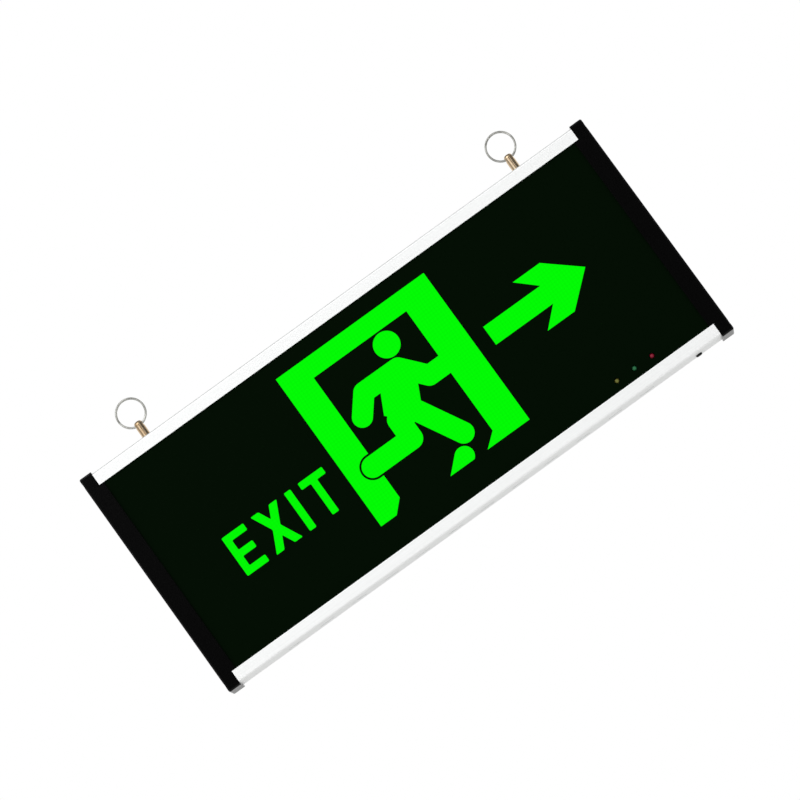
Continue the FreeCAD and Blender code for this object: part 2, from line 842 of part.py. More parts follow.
def legend_faces():
    """The legend's windows. The rear leg lies over the door jamb inside a thin dark outline."""
    joints = figure_joints()
    shin = size("shin_radius")
    rear_leg = (joints["rear_knee"], joints["rear_foot"])
    frame = doorway().cut(limb(*rear_leg, shin + size("figure_outline")))
    scene = frame.fuse([running_figure(joints), limb(*rear_leg, shin)])
    return [scene, disc(joints["head"], size("head_radius")), shoe(joints), arrow()]


def legend_mask():
    """The black print on the panel's front, with the legend left clear."""
    half = size("rail_half - 2 * fit_gap")
    low = size("port_top + fit_gap")
    high = size("body_height - port_top - fit_gap")
    depth = vector(0, size("mask_thickness"), 0)
    mask = polygon_face([(-half, low), (half, low), (half, high), (-half, high)]).extrude(depth)
    lamp_hole = size("lamp_radius + lamp_clear")
    lamps = [disc((size(lamp_x(number)), size("lamp_z")), lamp_hole) for number in LAMPS.values()]
    windows = [face.removeSplitter().extrude(depth) for face in legend_faces() + lamps]
    solid_feature("legend_mask", mask.cut(windows).removeSplitter())


# ------------------------------------------------------------------------------------------------
# LED strip
# ------------------------------------------------------------------------------------------------

def led_strip_board():
    """A narrow board on the floor of the light guide's groove."""
    board = doc.addObject("Part::Box", "led_strip_board")
    bind(board, "Length", "rail_length - 2 * strip_end_room")
    bind(board, "Width", "stack_back - diffuser_front")
    bind(board, "Height", "strip_thickness")
    place(board, "-(rail_half - strip_end_room)", "diffuser_front", "rail_floor")
    keep(board, "led_strip_board")


def strip_leds():
    """A row of flat LEDs that shine up into the light guide's lower edge."""
    count = int(size("chip_count"))
    length = size("chip_length")
    width = size("chip_width")
    middle = size("diffuser_front + (stack_back - diffuser_front) / 2")
    low = size("rail_floor + strip_thickness")
    chips = []
    for i in range(count):
        x = (i - (count - 1) / 2) * size("chip_pitch")
        corner = vector(x - length / 2, middle - width / 2, low)
        chip = Part.makeBox(length, width, size("chip_height"), corner)
        window = Part.makeCylinder(size("chip_lens_radius"), size("chip_lens_depth"),
                                   vector(x, middle, low + size("chip_height - chip_lens_depth")))
        chips.append(chip.cut(window))
    solid_feature("strip_leds", Part.makeCompound(chips))


# ------------------------------------------------------------------------------------------------
# Back plate, cable entry and earth screw
# ------------------------------------------------------------------------------------------------

def back_plate():
    """Sheet steel with two keyholes, a cable hole and an earthing hole."""
    body = new_body("back_plate")
    blank = new_sketch(body, "XZ_Plane", "-(plate_front)")
    rectangle(blank, "-(rail_half - 2 * fit_gap)", "rail_half - 2 * fit_gap",
              "rail_floor + fit_gap", "body_height - rail_floor - fit_gap")
    circle(blank, "cable_x", "cable_z", "grommet_hole_radius")
    circle(blank, "earth_x", "earth_z", "earth_shank_radius + hole_gap")
    for x, z in strap_screw_places():
        circle(blank, x, z, "screw_shank_radius + hole_gap")
    for side in ("-", ""):
        circle(blank, f"{side}keyhole_x", "keyhole_z", "keyhole_head_radius")
    pad(body, blank, "plate_thickness", backwards=True)
    necks = new_sketch(body, "XZ_Plane", "-(plate_front)")
    for side in ("-", ""):
        x = f"{side}keyhole_x"
        slot(necks, (x, "keyhole_z"), (x, "keyhole_z + keyhole_drop"), "keyhole_slot_radius")
    pocket(body, necks)


def cable_grommet():
    """A rubber bush whose groove grips the back plate round the cable hole."""
    body = new_body("cable_grommet")
    profile = new_sketch(body, "XY_Plane")
    inner = "plate_front - grommet_flange"
    outer = "plate_back + grommet_flange"
    outline(profile, [
        ("grommet_bore_radius", inner), ("grommet_flange_radius", inner),
        ("grommet_flange_radius", "plate_front"), ("grommet_hole_radius", "plate_front"),
        ("grommet_hole_radius", "plate_back"), ("grommet_flange_radius", "plate_back"),
        ("grommet_flange_radius", outer), ("grommet_bore_radius", outer),
    ])
    turned = revolve(body, profile, "V_Axis")
    rim = size("grommet_flange_radius")
    back = size(outer)

    def rear_rim(edge):
        box = edge.BoundBox
        return abs(box.YMin - back) < TOUCH and abs(box.XMax - rim) < TOUCH
    fillet(body, turned, rear_rim, "grommet_edge_radius")
    place(body, x="cable_x", z="cable_z")


def pan_screw(seat, outward, head_radius, head, shank_radius, length):
    """A pan-head screw: the head stands out from its seat, the shank goes the other way."""
    crown = Part.makeCylinder(head_radius, head, seat, outward)
    top = seat + outward * head
    rim = [edge for edge in crown.Edges if (edge.CenterOfMass - top).Length < TOUCH]
    crown = crown.makeFillet(head * PAN_ROUNDING, rim)
    shank = Part.makeCylinder(shank_radius, length, seat, outward * -1)
    return crown.fuse(shank).cut(cross_recess(top, outward * -1, head_radius)).removeSplitter()


def earth_screw():
    seat = vector(size("earth_x"), size("plate_front"), size("earth_z"))
    screw = pan_screw(seat, FORWARD, size("earth_head_radius"), size("earth_head"),
                      size("earth_shank_radius"), size("plate_thickness + earth_tail"))
    solid_feature("earth_screw", screw)


# ------------------------------------------------------------------------------------------------
# Driver board
# ------------------------------------------------------------------------------------------------

def board_corners(left, right, low, high):
    """Screw places, one inset from each corner of a board."""
    return [(x, z) for x in (f"{left} + board_screw_inset", f"{right} - board_screw_inset")
            for z in (f"{low} + board_screw_inset", f"{high} - board_screw_inset")]


def driver_corners():
    return board_corners("driver_left", "driver_left + driver_width", "driver_low",
                         "driver_low + driver_height")


def indicator_corners():
    """The indicator board is held at its two upper corners only."""
    corners = board_corners("indicator_board_left", "indicator_board_right", "switch_low",
                            "indicator_board_high")
    return [corner for corner in corners if "high" in corner[1]]


def circuit_board(label, face, left, right, low, high, corners):
    body = new_body(label)
    sketch = new_sketch(body, "XZ_Plane", f"-({face})")
    rectangle(sketch, left, right, low, high)
    for x, z in corners:
        circle(sketch, x, z, "screw_shank_radius + hole_gap")
    pad(body, sketch, "board_thickness", backwards=True)


def driver_standoffs():
    """Tapped pillars from the back plate to the driver board."""
    length = size("driver_stand_off")
    pillars = []
    for x, z in driver_corners():
        top = vector(size(x), size("driver_back"), size(z))
        pillar = Part.makeCylinder(size("standoff_radius"), length, top, BACKWARD)
        bore = Part.makeCylinder(size("standoff_bore"), length, top, BACKWARD)
        pillars.append(pillar.cut(bore))
    solid_feature("driver_standoffs", Part.makeCompound(pillars))


def snap_pillars():
    """Nylon pillars whose necks pass through the indicator board and end in a snap head."""
    length = size("plate_front - indicator_back")
    neck = size("board_thickness + snap_head")
    pillars = []
    for x, z in indicator_corners():
        shoulder = vector(size(x), size("indicator_back"), size(z))
        pillar = Part.makeCylinder(size("standoff_radius"), length, shoulder, BACKWARD)
        stem = Part.makeCylinder(size("screw_shank_radius"), neck, shoulder, FORWARD)
        face = vector(shoulder.x, size("indicator_front"), shoulder.z)
        head = Part.makeCone(size("snap_head_radius"), size("screw_shank_radius"), size("snap_head"),
                             face, FORWARD)
        pillars.append(pillar.fuse([stem, head]).removeSplitter())
    solid_feature("snap_pillars", Part.makeCompound(pillars))


def small_screws(label, places, seat_y, shank):
    """Identical pan-head screws, driven from the front."""
    length = size(shank)
    screws = [pan_screw(vector(size(x), size(seat_y), size(z)), FORWARD, size("screw_head_radius"),
                        size("screw_head"), size("screw_shank_radius"), length) for x, z in places]
    solid_feature(label, Part.makeCompound(screws))


def driver_parts():
    circuit_board("driver_board", "driver_front", "driver_left", "driver_left + driver_width",
                  "driver_low", "driver_low + driver_height", driver_corners())
    driver_standoffs()
    small_screws("driver_screws", driver_corners(), "driver_front", "screw_length")
    transformer()
    reservoir_capacitor()
    terminal_block()


def block_about(x, z, width, height, front, depth):
    """A box centred on a point of a board, from a front face back."""
    corner = vector(x - width / 2, front, z - height / 2)
    return Part.makeBox(width, depth, height, corner)


def transformer():
    """A flat ferrite core with its winding bulging on both sides of the middle leg."""
    width = size("transformer_width")
    height = size("transformer_height")
    depth = size("transformer_depth")
    recess = size("winding_recess")
    front = size("driver_front - transformer_depth")
    x = size("driver_left + driver_width / 2")
    z = size("driver_low + driver_height / 2")
    offset = size("core_window_offset")
    core = block_about(x, z, width, height, front, depth)
    windows = [block_about(x, z + side * offset, size("core_window_width"), size("core_window_height"),
                           front, depth) for side in (-1, 1)]
    start = vector(x - size("winding_length / 2"), front + depth / 2, z)
    winding = Part.makeCylinder(size("winding_radius"), size("winding_length"), start, vector(1, 0, 0))
    between = block_about(x, z, width, height, front + recess, depth - 2 * recess)
    solid_feature("transformer", core.cut(windows).fuse(winding.common(between)).removeSplitter())


def reservoir_capacitor():
    """A round can lying along the board, crimped near its lead end."""
    body = new_body("reservoir_capacitor")
    profile = new_sketch(body, "XY_Plane")
    depth = "capacitor_groove_depth"
    groove = f"capacitor_radius - {depth}"
    near = "capacitor_groove_place"
    beyond = f"{near} + capacitor_groove_width"
    outline(profile, [
        ("0", "0"), ("capacitor_radius", "0"), ("capacitor_radius", near),
        (groove, f"{near} + {depth}"), (groove, f"{beyond} - {depth}"), ("capacitor_radius", beyond),
        ("capacitor_radius", "capacitor_length"), ("0", "capacitor_length"),
    ])
    turned = revolve(body, profile, "V_Axis")
    far = size("capacitor_length")

    def end_rim(edge):
        box = edge.BoundBox
        return abs(box.YMin - far) < TOUCH and box.XLength > TOUCH
    fillet(body, turned, end_rim, "capacitor_edge_radius")
    body.Placement.Rotation = FreeCAD.Rotation(vector(0, 0, 1), -90)
    place(body, "driver_left + driver_width - capacitor_inset", "driver_front - capacitor_radius",
          "driver_low + capacitor_rise")


def terminal_block():
    """A three-way block: wire mouths on its left side, screw wells on its front."""
    body = new_body("terminal_block")
    left = "driver_left + board_screw_inset"
    low = "driver_low + (driver_height - terminal_width) / 2"
    block = new_sketch(body, "XZ_Plane", "-(driver_front)")
    rectangle(block, left, f"{left} + terminal_height", low, f"{low} + terminal_width")
    pad(body, block, "terminal_depth")
    wells = new_sketch(body, "XZ_Plane", "-(driver_front - terminal_depth)")
    mouths = new_sketch(body, "YZ_Plane", left)
    for i in range(int(size("terminal_ways"))):
        z = f"{low} + terminal_pitch * ({i} + 0.5)"
        circle(wells, f"{left} + terminal_height / 2", z, "terminal_well_radius")
        circle(mouths, "driver_front - terminal_mouth_level", z, "terminal_mouth_radius")
    pocket(body, wells, "terminal_well_depth")
    pocket(body, mouths, "terminal_mouth_depth", backwards=True)


# ------------------------------------------------------------------------------------------------
# Battery pack and strap
# ------------------------------------------------------------------------------------------------

def battery_pack():
    """Three round cells side by side in one shrunk sleeve."""
    radius = size("cell_radius")
    length = size("cell_length")
    left = size("battery_left")
    middle = size("battery_front") + radius
    count = int(size("cell_count"))
    axis = vector(1, 0, 0)
    levels = [size("battery_low") + radius * (2 * i + 1) for i in range(count)]
    cells = [Part.makeCylinder(radius, length, vector(left, middle, z), axis) for z in levels]
    web_depth = size("sleeve_web")
    web = Part.makeBox(length, web_depth, levels[-1] - levels[0],
                       vector(left, middle - web_depth / 2, levels[0]))
    pack = web.fuse(cells).removeSplitter()
    rims = [edge for edge in pack.Edges if edge.BoundBox.XLength < TOUCH]
    solid_feature("battery_pack", pack.makeFillet(size("sleeve_edge_radius"), rims))


def strap_screw_places():
    """The middle of each of the strap's feet."""
    return [("battery_middle_x", "battery_low - fit_gap - strap_thickness - strap_foot / 2"),
            ("battery_middle_x", "battery_high + fit_gap + strap_thickness + strap_foot / 2")]


def battery_strap():
    """A bent metal strap over the pack, with a foot on the back plate at each side."""
    body = new_body("battery_strap")
    profile = new_sketch(body, "YZ_Plane", "battery_middle_x")
    inner_low = "battery_low - fit_gap"
    inner_high = "battery_high + fit_gap"
    inner_front = "battery_front - fit_gap"
    low = f"{inner_low} - strap_thickness"
    high = f"{inner_high} + strap_thickness"
    foot = "plate_front - strap_thickness"
    outline(profile, [
        ("plate_front", f"{low} - strap_foot"), ("plate_front", inner_low),
        (inner_front, inner_low), (inner_front, inner_high), ("plate_front", inner_high),
        ("plate_front", f"{high} + strap_foot"), (foot, f"{high} + strap_foot"), (foot, high),
        (f"{inner_front} - strap_thickness", high), (f"{inner_front} - strap_thickness", low),
        (foot, low), (foot, f"{low} - strap_foot"),
    ])
    pad(body, profile, "strap_width", symmetric=True)
    holes = new_sketch(body, "XZ_Plane", "-(plate_front)")
    for x, z in strap_screw_places():
        circle(holes, x, z, "screw_shank_radius + hole_gap")
    pocket(body, holes, "strap_thickness + fit_gap", backwards=True)


# ------------------------------------------------------------------------------------------------
# Indicator board, lamps, switch and button
# ------------------------------------------------------------------------------------------------

def indicator_lamp(label, number):
    """A domed 3 mm LED that reaches through the sheets to the panel's face."""
    body = new_body(label)
    profile = new_sketch(body, "XY_Plane")
    outline(profile, [
        ("0", "panel_front"), ("lamp_radius", "panel_front"),
        ("lamp_radius", "panel_front + lamp_length"),
        ("lamp_flange_radius", "panel_front + lamp_length"),
        ("lamp_flange_radius", "panel_front + lamp_length + lamp_flange"),
        ("0", "panel_front + lamp_length + lamp_flange"),
    ])
    turned = revolve(body, profile, "V_Axis")
    tip = size("panel_front")

    def tip_rim(edge):
        box = edge.BoundBox
        return abs(box.YMax - tip) < TOUCH and box.XLength > TOUCH
    fillet(body, turned, tip_rim, "lamp_dome_radius")
    legs = new_sketch(body, "XZ_Plane", "-(panel_front + lamp_length + lamp_flange)")
    for side in ("-", ""):
        half = "lamp_leg / 2"
        middle = f"{side}lamp_leg_pitch / 2"
        rectangle(legs, f"{middle} - {half}", f"{middle} + {half}", f"-{half}", half)
    pad(body, legs, "indicator_front - (panel_front + lamp_length + lamp_flange)", backwards=True)
    place(body, x=lamp_x(number), z="lamp_z")


def test_switch():
    """A push switch on the back of the indicator board, with a well for the button's stem."""
    body = new_body("test_switch")
    case = new_sketch(body, "XY_Plane", "switch_low")
    left = "button_x - switch_width / 2"
    right = "button_x + switch_width / 2"
    rectangle(case, left, right, "indicator_back", "indicator_back + switch_width")
    pad(body, case, "switch_height")
    well = new_sketch(body, "XY_Plane", "switch_low")
    circle(well, "button_x", "hang_line", "button_stem_radius + hole_gap")
    pocket(body, well, "switch_height - switch_wall", backwards=True)


def test_button():
    """A button whose tip stands out under the rail, held in by a flange above the rail's floor."""
    body = new_body("test_button")
    profile = new_sketch(body, "XZ_Plane")
    outline(profile, [
        ("0", "button_clear"), ("button_radius", "button_clear"), ("button_radius", "flange_low"),
        ("button_flange_radius", "flange_low"), ("button_flange_radius", "flange_top"),
        ("button_stem_radius", "flange_top"), ("button_stem_radius", "flange_top + button_stem"),
        ("0", "flange_top + button_stem"),
    ])
    turned = revolve(body, profile, "V_Axis")
    wanted = ring_edge_at(size("button_clear"), size("button_radius"))
    fillet(body, turned, wanted, "button_edge_radius")
    place(body, x="button_x", y="hang_line")


def indicator_parts():
    circuit_board("indicator_board", "indicator_front", "indicator_board_left",
                  "indicator_board_right", "switch_low", "indicator_board_high",
                  indicator_corners())
    snap_pillars()
    for label, number in LAMPS.items():
        indicator_lamp(label, number)
    test_switch()
    test_button()


# ------------------------------------------------------------------------------------------------
# Hanging posts and split rings
# ------------------------------------------------------------------------------------------------

def hanging_post(label, side):
    """A turned brass post: round top, cross hole, and a threaded shank through the top rail."""
    body = new_body(label)
    tail = "rail_base + washer_thickness + nut_thickness + shank_tail"
    profile = new_sketch(body, "XZ_Plane")
    outline(profile, [
        ("0", f"-({tail})"), ("shank_radius", f"-({tail})"), ("shank_radius", "0"),
        ("post_radius", "0"), ("post_radius", "post_height"), ("0", "post_height"),
    ])
    turned = revolve(body, profile, "V_Axis")
    fillet(body, turned, ring_edge_at(size("post_height"), size("post_radius")), "post_crown")
    eye = new_sketch(body, "YZ_Plane")
    circle(eye, "0", "post_height - post_eye_depth", "post_eye_radius")
    pocket(body, eye)
    place(body, f"{side}post_x", "hang_line", "roof")


def post_washers():
    """Washers under the top rail's roof, with two flats so that they sit between its ribs."""
    radius = size("washer_radius")
    thickness = size("washer_thickness")
    across = size("nut_flats + 2 * fit_gap")
    washers = []
    for side in (-1, 1):
        seat = vector(side * size("post_x"), size("hang_line"), size("roof - rail_base - washer_thickness"))
        blank = Part.makeCylinder(radius, thickness, seat)
        hole = Part.makeCylinder(size("shank_radius + hole_gap"), thickness, seat)
        between = Part.makeBox(2 * radius, across, thickness, seat - vector(radius, across / 2))
        washers.append(blank.common(between).cut(hole))
    solid_feature("post_washers", Part.makeCompound(washers))


def post_nuts():
    """Hexagon nuts with two flats along the rail, so that they can't turn between its ribs."""
    across = size("nut_flats")
    corner = across / math.sqrt(3)
    wide = corner + 2 * size("nut_chamfer")
    narrow = corner - size("nut_chamfer")
    height = size("nut_thickness")
    nuts = []
    for side in (-1, 1):
        seat = vector(side * size("post_x"), size("hang_line"),
                      size("roof - rail_base - washer_thickness - nut_thickness"))
        points = [seat + vector(corner * math.cos(math.radians(60 * i)),
                                corner * math.sin(math.radians(60 * i))) for i in range(7)]
        hexagon = Part.Face(Part.makePolygon(points)).extrude(UP * height)
        rounded = hexagon
        for below, above in ((wide, narrow), (narrow, wide)):
            rounded = rounded.common(Part.makeCone(below, above, height, seat, UP))
        hole = Part.makeCylinder(size("shank_radius + fit_gap / 2"), height, seat)
        nuts.append(rounded.cut(hole))
    solid_feature("post_nuts", Part.makeCompound(nuts))


def split_ring(label, side):
    """Two turns of flat wire side by side, joined all round, with an end gap in each turn."""
    body = new_body(label)
    half_straight = "(ring_wire_width - ring_wire_thickness) / 2"
    middle = "ring_radius - ring_wire_width / 2"
    for layer in ("-", ""):
        level = f"{layer}(ring_wire_thickness - ring_coil_bite) / 2"
        turn = new_sketch(body, "XY_Plane")
        slot(turn, (f"{middle} - {half_straight}", level), (f"{middle} + {half_straight}", level),
             "ring_wire_thickness / 2")
        revolve(body, turn, "V_Axis")
    gap = "ring_end_gap / 2"
    for layer, step in (("-", 0), ("", 1)):
        notch = new_sketch(body, "XZ_Plane")
        direction = math.radians(size("ring_end_angle") + step * size("ring_end_step"))
        inner = ("ring_radius - 2 * ring_wire_width", "ring_radius + ring_wire_width")
        corners = []
        ends = ((inner[0], f"-{gap}"), (inner[1], f"-{gap}"), (inner[1], gap), (inner[0], gap))
        for reach, offset in ends:
            along = f"({reach}) * {math.cos(direction):.6f}"
            up = f"({reach}) * {math.sin(direction):.6f}"
            corners.append((f"{along} - ({offset}) * {math.sin(direction):.6f}",
                            f"{up} + ({offset}) * {math.cos(direction):.6f}"))
        outline(notch, corners)
        pocket(body, notch, "ring_wire_thickness", backwards=(layer == "-"))
    place(body, f"{side}post_x", "hang_line", "ring_z")


def hangers():
    for word, side in (("left", "-"), ("right", "")):
        hanging_post(f"{word}_hanging_post", side)
        split_ring(f"{word}_split_ring", side)
    post_washers()
    post_nuts()


# ------------------------------------------------------------------------------------------------
# Internal leads
# ------------------------------------------------------------------------------------------------

# How much of the shorter of two straight runs the bend between them takes up
BEND_SHARE = 0.45


def lead(label, route):
    """A round lead along straight runs, joined by arcs as large as the runs leave room for."""
    points = [vector(size(x), size(y), size(z)) for x, y, z in route]
    edges = []
    start = points[0]
    for before, corner, after in zip(points, points[1:], points[2:]):
        arriving = corner - before
        leaving = after - corner
        reach = BEND_SHARE * min(arriving.Length, leaving.Length)
        arriving.normalize()
        leaving.normalize()
        half_turn = arriving.getAngle(leaving) / 2
        bend = reach / math.tan(half_turn)
        inward = leaving - arriving
        inward.normalize()
        middle = corner + inward * (bend / math.cos(half_turn) - bend)
        first = corner - arriving * reach
        last = corner + leaving * reach
        edges += [Part.makeLine(start, first), Part.Arc(first, middle, last).toShape()]
        start = last
    edges.append(Part.makeLine(start, points[-1]))
    path = Part.Wire(edges)
    section = Part.Wire(Part.makeCircle(size("lead_radius"), points[0], points[1] - points[0]))
    solid_feature(label, path.makePipeShell([section], True, False))


def leads():
    """From the battery, the indicator board and the LED strip to the front of the driver board."""
    board_right = "driver_left + driver_width - 2 * board_screw_inset"
    above = "driver_front - lead_lift"

    cell_middle = "battery_front + cell_radius"
    level = "battery_low + battery_height / 2"
    landing = f"{level} + battery_lead_climb"
    lead("battery_lead", [
        ("battery_left", cell_middle, level),
        ("battery_left - battery_lead_exit", cell_middle, level),
        ("battery_left - battery_lead_swing", above, f"{level} + lead_land"),
        (board_right, above, landing),
        (board_right, "driver_front", landing),
    ])

    solder_x = "lamp_first_x + lamp_pitch"
    solder_z = "indicator_board_high - lead_bend"
    behind = "indicator_back + lead_bend"
    landing = "driver_low + lead_land"
    lead("indicator_lead", [
        (solder_x, "indicator_back", solder_z),
        (solder_x, behind, solder_z),
        (f"{solder_x} - lead_bend", behind, "battery_low - indicator_lead_below"),
        ("battery_left - indicator_lead_pass", behind, "battery_low - indicator_lead_near"),
        (board_right, above, landing),
        (board_right, "driver_front", landing),
    ])

    groove_middle = "diffuser_front + (stack_back - diffuser_front) / 2"
    landing_x = "driver_left + lead_land"
    landing = "driver_low + strip_lead_land"
    lead("strip_lead", [
        ("lead_hole_x", groove_middle, "rail_floor + strip_thickness"),
        ("lead_hole_x", groove_middle, "lead_hole_z"),
        ("lead_hole_x", "hang_line", "lead_hole_z"),
        ("lead_hole_x + lead_bend", "hang_line", "lead_hole_z + strip_lead_climb"),
        ("lead_hole_x + strip_lead_run", "hang_line", "driver_low - strip_lead_climb"),
        ("driver_left - strip_lead_pass", "hang_line", "driver_low - strip_lead_near"),
        (landing_x, above, landing),
        (landing_x, "driver_front", landing),
    ])


# ------------------------------------------------------------------------------------------------
# Build, check and write
# ------------------------------------------------------------------------------------------------

def write_parts():
    """Check every object and sub-part, then write one file for each sub-part."""
    doc.recompute()
    for thing in doc.Objects:
        faults = [state for state in thing.State if state in ("Invalid", "Error")]
        if faults:
            raise RuntimeError(f"{thing.Label}: {faults}")
    for part in SUB_PARTS:
        if part.Shape.isNull() or not part.Shape.isValid():
            raise RuntimeError(f"{part.Label}: bad shape")
    os.makedirs("parts", exist_ok=True)
    for part in SUB_PARTS:
        part.Shape.exportStep(f"parts/{part.Label}.step")
        print(f"{part.Label}: {len(part.Shape.Solids)} solids, {part.Shape.Volume:.1f} mm3")


bottom_rail()
top_rail()
left_end_cap(right_end_cap())
end_cap_screws()
sheets()
legend_mask()
led_strip_board()
strip_leds()
back_plate()
cable_grommet()
earth_screw()
driver_parts()
battery_pack()
battery_strap()
small_screws("strap_screws", strap_screw_places(), "plate_front - strap_thickness",
             "strap_thickness + plate_thickness + earth_tail")
indicator_parts()
hangers()
leads()
write_parts()
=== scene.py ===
# %% [markdown]
# # Dressing an emergency exit light
#
# The lamp is a flat box that hangs from two rings: aluminium rails above and below, black end caps,
# and between them a black printed panel whose legend glows green. Its shapes come ready made from
# the CAD model. This lesson gives every piece the finish of the real one, adds the lit word that
# the sign carries, and sets up a plain studio. Blender works in metres, so real sizes are written
# in millimetres and multiplied by MM.

import math

import bmesh
import bpy
from mathutils import Matrix, Vector


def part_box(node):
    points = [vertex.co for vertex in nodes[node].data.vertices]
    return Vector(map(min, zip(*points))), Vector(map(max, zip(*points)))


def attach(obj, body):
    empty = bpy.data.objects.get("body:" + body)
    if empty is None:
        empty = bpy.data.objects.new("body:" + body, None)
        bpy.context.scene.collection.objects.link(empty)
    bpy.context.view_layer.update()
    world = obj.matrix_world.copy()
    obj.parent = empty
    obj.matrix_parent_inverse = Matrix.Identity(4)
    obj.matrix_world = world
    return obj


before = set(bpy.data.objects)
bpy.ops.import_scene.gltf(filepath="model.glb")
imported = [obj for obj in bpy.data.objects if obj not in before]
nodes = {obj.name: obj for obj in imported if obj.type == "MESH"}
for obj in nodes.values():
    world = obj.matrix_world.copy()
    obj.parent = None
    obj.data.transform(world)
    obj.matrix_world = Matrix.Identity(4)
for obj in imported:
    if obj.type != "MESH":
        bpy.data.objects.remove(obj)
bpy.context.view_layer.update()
MM = 0.001

# %% [markdown]
# ## The camera
#
# The lamp is seen from the front and from a little below, through a long lens, and the picture is
# turned so that the lamp climbs to the right. An empty with a Track To constraint could aim the
# camera. Here the three axes of the camera are worked out instead, because the turn of the picture
# is then one plain angle.

# %% Camera
BELOW = math.radians(7.5)      # the camera stands this far below the level of the lamp
ROLL = math.radians(35.8)      # the lamp's length climbs by this much in the picture
DISTANCE = 3.0
VIEW_WIDTH = 451.5 * MM        # what the picture's width holds at the panel
AIM_SHIFT = -1.0 * MM
AIM_HEIGHT = 78.1 * MM


def camera_axes():
    """The camera's right, up and back directions, as the columns of a matrix."""
    back = Vector((0, -math.cos(BELOW), -math.sin(BELOW)))
    level = Vector((1, 0, 0))
    rise = back.cross(level)
    right = level * math.cos(ROLL) - rise * math.sin(ROLL)
    up = level * math.sin(ROLL) + rise * math.cos(ROLL)
    return Matrix((right, up, back)).transposed()


def make_camera():
    lens = bpy.data.cameras.new("camera")
    lens.sensor_width = 36.0
    lens.lens = lens.sensor_width * DISTANCE / VIEW_WIDTH
    lens.clip_start = 0.1
    lens.clip_end = 50.0
    camera = bpy.data.objects.new("camera", lens)
    axes = camera_axes()
    panel_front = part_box("legend_mask")[0].y
    aim = Vector((AIM_SHIFT, panel_front, AIM_HEIGHT))
    camera.matrix_world = Matrix.Translation(aim + axes.col[2] * DISTANCE) @ axes.to_4x4()
    bpy.context.scene.collection.objects.link(camera)
    bpy.context.scene.camera = camera
    print("camera:", round(lens.lens), "mm lens at", [round(x, 3) for x in camera.location])


make_camera()

# %% [markdown]
# ## Colours and nodes
#
# Colours are written as designers write them, in sRGB hex, and Blender's shaders want them linear:
# one function turns one into the other. A material is a small net of nodes, and one helper adds a
# node together with its settings, its fixed input values and its links.

# %% Helpers for colours, nodes and materials
def srgb(text):
    """The linear colour of an sRGB hex value such as B98A4A."""
    parts = [int(text[i:i + 2], 16) / 255 for i in (0, 2, 4)]
    linear = [c / 12.92 if c <= 0.04045 else ((c + 0.055) / 1.055) ** 2.4 for c in parts]
    return (*linear, 1.0)


def add(tree, kind, values=None, links=None, **settings):
    """Add one node. Values and links are keyed by the name or number of an input."""
    made = tree.nodes.new(kind)
    for name, setting in settings.items():
        setattr(made, name, setting)
    for key, value in (values or {}).items():
        made.inputs[key].default_value = value
    for key, socket in (links or {}).items():
        tree.links.new(socket, made.inputs[key])
    return made


def start_material(name, constants):
    """A material with one Principled shader. Constants are fixed values of the shader's sockets."""
    material = bpy.data.materials.new(name)
    material.use_nodes = True
    tree = material.node_tree
    tree.nodes.clear()
    shader = add(tree, "ShaderNodeBsdfPrincipled", constants)
    add(tree, "ShaderNodeOutputMaterial", links={"Surface": shader.outputs[0]})
    return material, tree, shader


def place_on(tree, size_mm, stretch=(1, 1, 1)):
    """Coordinates in which one unit is size_mm on the object, longer along a stretched axis."""
    place = add(tree, "ShaderNodeTexCoord")
    scale = [1 / (size_mm * MM * s) for s in stretch]
    return add(tree, "ShaderNodeMapping", {"Scale": scale},
               {"Vector": place.outputs["Object"]}).outputs[0]


def grade(tree, pattern, low, high):
    """A value that follows a pattern's 0 to 1 from low to high."""
    spread = {"From Min": 0.3, "From Max": 0.7, "To Min": low, "To Max": high}
    return add(tree, "ShaderNodeMapRange", spread, {"Value": pattern}).outputs[0]


def shade(tree, pattern, dark, light):
    """A colour that follows a pattern's 0 to 1 from dark to light, both sRGB hex."""
    share = grade(tree, pattern, 0.0, 1.0)
    return add(tree, "ShaderNodeMix", {6: srgb(dark), 7: srgb(light)}, {0: share},
               data_type="RGBA").outputs[2]


def raise_by(tree, shader, pattern, depth_mm, under=None):
    """Turn a pattern into relief of a real depth. Returns the normal, for more relief on top."""
    links = {"Height": pattern}
    if under is not None:
        links["Normal"] = under
    bump = add(tree, "ShaderNodeBump", {"Strength": 1.0, "Distance": depth_mm * MM}, links)
    tree.links.new(bump.outputs[0], shader.inputs["Normal"])
    return bump.outputs[0]


def grained(name, dark, light, grain_mm, relief_mm, rough, stretch=(1, 1, 1), **constants):
    """A finish whose colour, gloss and relief vary together with one fine grain."""
    values = {key.replace("_", " "): value for key, value in constants.items()}
    material, tree, shader = start_material(name, values)
    grain = add(tree, "ShaderNodeTexNoise", {"Scale": 1.0, "Detail": 4.0, "Roughness": 0.6},
                {"Vector": place_on(tree, grain_mm, stretch)}).outputs["Fac"]
    tree.links.new(shade(tree, grain, dark, light), shader.inputs["Base Color"])
    tree.links.new(grade(tree, grain, rough[0], rough[1]), shader.inputs["Roughness"])
    raise_by(tree, shader, grain, relief_mm)
    return material


def node_of(tree, kind):
    """The one node of a kind in a tree."""
    return next(node for node in tree.nodes if node.type == kind)


dressed = set()


def dress(material, *names):
    """Put a material on every face of some CAD nodes."""
    for name in names:
        for slot in nodes[name].material_slots:
            slot.material = material
        dressed.add(name)
    print(material.name, "on", ", ".join(names))


